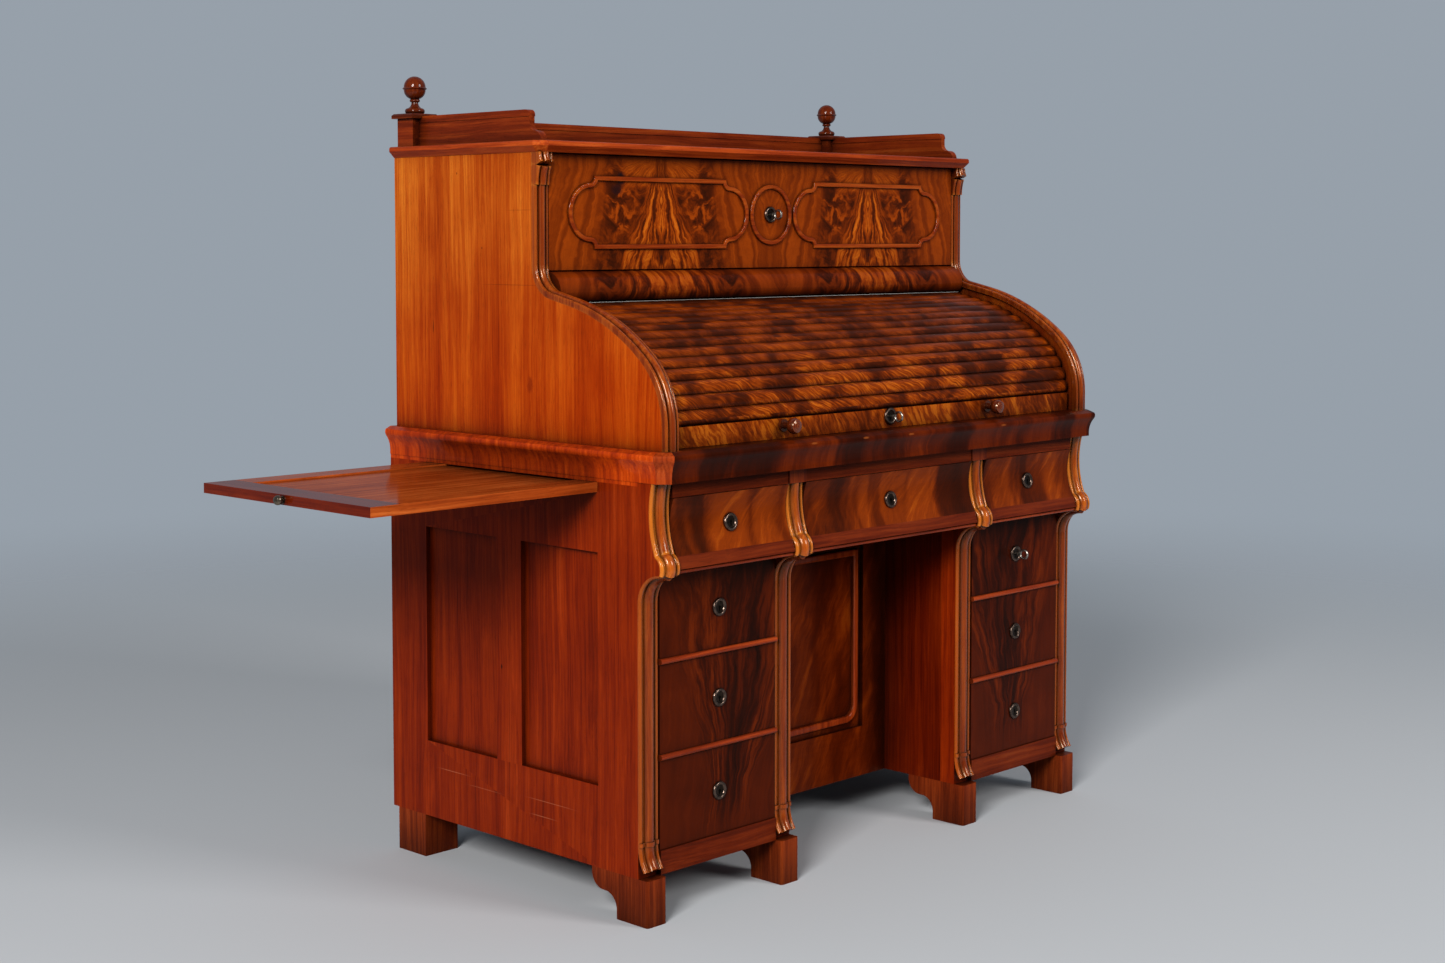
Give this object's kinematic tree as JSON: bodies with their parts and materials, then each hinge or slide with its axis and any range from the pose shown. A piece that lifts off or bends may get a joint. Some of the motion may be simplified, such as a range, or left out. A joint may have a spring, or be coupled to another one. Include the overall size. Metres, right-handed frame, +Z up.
{
  "type": "roll top desk",
  "caption": "Mahogany roll top desk with drawer pedestals, a slatted roll, an upper cabinet behind a fall flap, pull-out side slides, reeded mouldings and a galleried top.",
  "frame": {"origin": "on the floor under the middle of the desk's box, the drawn-out left slide included", "axes": "+Z up, -Y towards the sitter, +X to the sitter's right"},
  "size_m": [1.743, 0.75, 1.4593],
  "materials": {
    "mahogany": "French polished",
    "moulded_mahogany": "French polished",
    "flame_mahogany": "French polished flame veneer",
    "plain_lining": "waxed",
    "brass": "aged",
    "steel": "worn"
  },
  "bodies": {
    "case": {"feet": "mahogany", "side_frames": "mahogany", "side_panels": "mahogany", "posts": "mahogany", "post_reeds": "moulded_mahogany", "corbels": "moulded_mahogany", "pedestal_boards": "plain_lining", "kneehole_back": "mahogany", "kneehole_moulding": "moulded_mahogany", "drawer_rails": "mahogany", "drawer_runners": "plain_lining", "frieze_deck": "mahogany", "frieze_rails": "mahogany", "frieze_partitions": "mahogany", "slide_bearers": "plain_lining", "top_frame": "mahogany", "waist_moulding": "flame_mahogany", "writing_board": "mahogany", "back_frame": "mahogany", "back_panels": "plain_lining", "upper_sides": "mahogany", "reeded_edges": "moulded_mahogany", "pivot_pins": "brass", "cushion_rail": "flame_mahogany", "cabinet_boards": "mahogany", "cornice": "mahogany", "gallery": "mahogany", "finials": "moulded_mahogany", "pigeonholes": "plain_lining"},
    "roll": {"roll_slats": "moulded_mahogany", "roll_lock_rail": "flame_mahogany", "roll_ribs": "plain_lining", "roll_knobs": "moulded_mahogany"},
    "roll_key": {"roll_key": "steel"},
    "flap": {"flap_panel": "flame_mahogany", "flap_mouldings": "moulded_mahogany"},
    "flap_key": {"flap_key": "steel"},
    "left_slide": {"left_slide": "flame_mahogany", "left_slide_knob": "brass"},
    "right_slide": {"right_slide": "flame_mahogany", "right_slide_knob": "brass"},
    "drawer_key": {"drawer_key": "steel"},
    "left_bottom_drawer": {"left_bottom_drawer_front": "flame_mahogany", "left_bottom_drawer_box": "plain_lining"},
    "left_middle_drawer": {"left_middle_drawer_front": "flame_mahogany", "left_middle_drawer_box": "plain_lining"},
    "left_top_drawer": {"left_top_drawer_front": "flame_mahogany", "left_top_drawer_box": "plain_lining"},
    "right_bottom_drawer": {"right_bottom_drawer_front": "flame_mahogany", "right_bottom_drawer_box": "plain_lining"},
    "right_middle_drawer": {"right_middle_drawer_front": "flame_mahogany", "right_middle_drawer_box": "plain_lining"},
    "right_top_drawer": {"right_top_drawer_front": "flame_mahogany", "right_top_drawer_box": "plain_lining"},
    "frieze_left_drawer": {"frieze_left_drawer_front": "flame_mahogany", "frieze_left_drawer_box": "plain_lining"},
    "frieze_centre_drawer": {"frieze_centre_drawer_front": "flame_mahogany", "frieze_centre_drawer_box": "plain_lining"},
    "frieze_right_drawer": {"frieze_right_drawer_front": "flame_mahogany", "frieze_right_drawer_box": "plain_lining"}
  },
  "joints": [
    {"name": "roll_turn", "type": "hinge", "parent": "case", "child": "roll", "pos_m": [0.2355, -0.082, 0.772], "axis": [-1, 0, 0], "range_deg": [0, 60]},
    {"name": "flap_fall", "type": "hinge", "parent": "case", "child": "flap", "pos_m": [0.2355, -0.021, 1.105], "axis": [1, 0, 0], "range_deg": [0, 90]},
    {"name": "left_slide_pull", "type": "slide", "parent": "case", "child": "left_slide", "axis": [-1, 0, 0], "range_m": [-0.471, 0]},
    {"name": "right_slide_pull", "type": "slide", "parent": "case", "child": "right_slide", "axis": [1, 0, 0], "range_m": [0, 0.471]},
    {"name": "roll_key_turn", "type": "hinge", "parent": "roll", "child": "roll_key", "pos_m": [0.2355, -0.33, 0.827], "axis": [0, 1, 0], "range_deg": [-90, 90]},
    {"name": "flap_key_turn", "type": "hinge", "parent": "flap", "child": "flap_key", "pos_m": [0.2355, -0.025, 1.2035], "axis": [0, 1, 0], "range_deg": [-90, 90]},
    {"name": "drawer_key_turn", "type": "hinge", "parent": "right_top_drawer", "child": "drawer_key", "pos_m": [0.6665, -0.305, 0.52015], "axis": [0, 1, 0], "range_deg": [-90, 90]},
    {"name": "left_bottom_drawer_pull", "type": "slide", "parent": "case", "child": "left_bottom_drawer", "axis": [0, -1, 0], "range_m": [0, 0.4]},
    {"name": "left_middle_drawer_pull", "type": "slide", "parent": "case", "child": "left_middle_drawer", "axis": [0, -1, 0], "range_m": [0, 0.4]},
    {"name": "left_top_drawer_pull", "type": "slide", "parent": "case", "child": "left_top_drawer", "axis": [0, -1, 0], "range_m": [0, 0.4]},
    {"name": "right_bottom_drawer_pull", "type": "slide", "parent": "case", "child": "right_bottom_drawer", "axis": [0, -1, 0], "range_m": [0, 0.4]},
    {"name": "right_middle_drawer_pull", "type": "slide", "parent": "case", "child": "right_middle_drawer", "axis": [0, -1, 0], "range_m": [0, 0.4]},
    {"name": "right_top_drawer_pull", "type": "slide", "parent": "case", "child": "right_top_drawer", "axis": [0, -1, 0], "range_m": [0, 0.4]},
    {"name": "frieze_left_drawer_pull", "type": "slide", "parent": "case", "child": "frieze_left_drawer", "axis": [0, -1, 0], "range_m": [0, 0.4]},
    {"name": "frieze_centre_drawer_pull", "type": "slide", "parent": "case", "child": "frieze_centre_drawer", "axis": [0, -1, 0], "range_m": [0, 0.4]},
    {"name": "frieze_right_drawer_pull", "type": "slide", "parent": "case", "child": "frieze_right_drawer", "axis": [0, -1, 0], "range_m": [0, 0.4]}
  ]
}
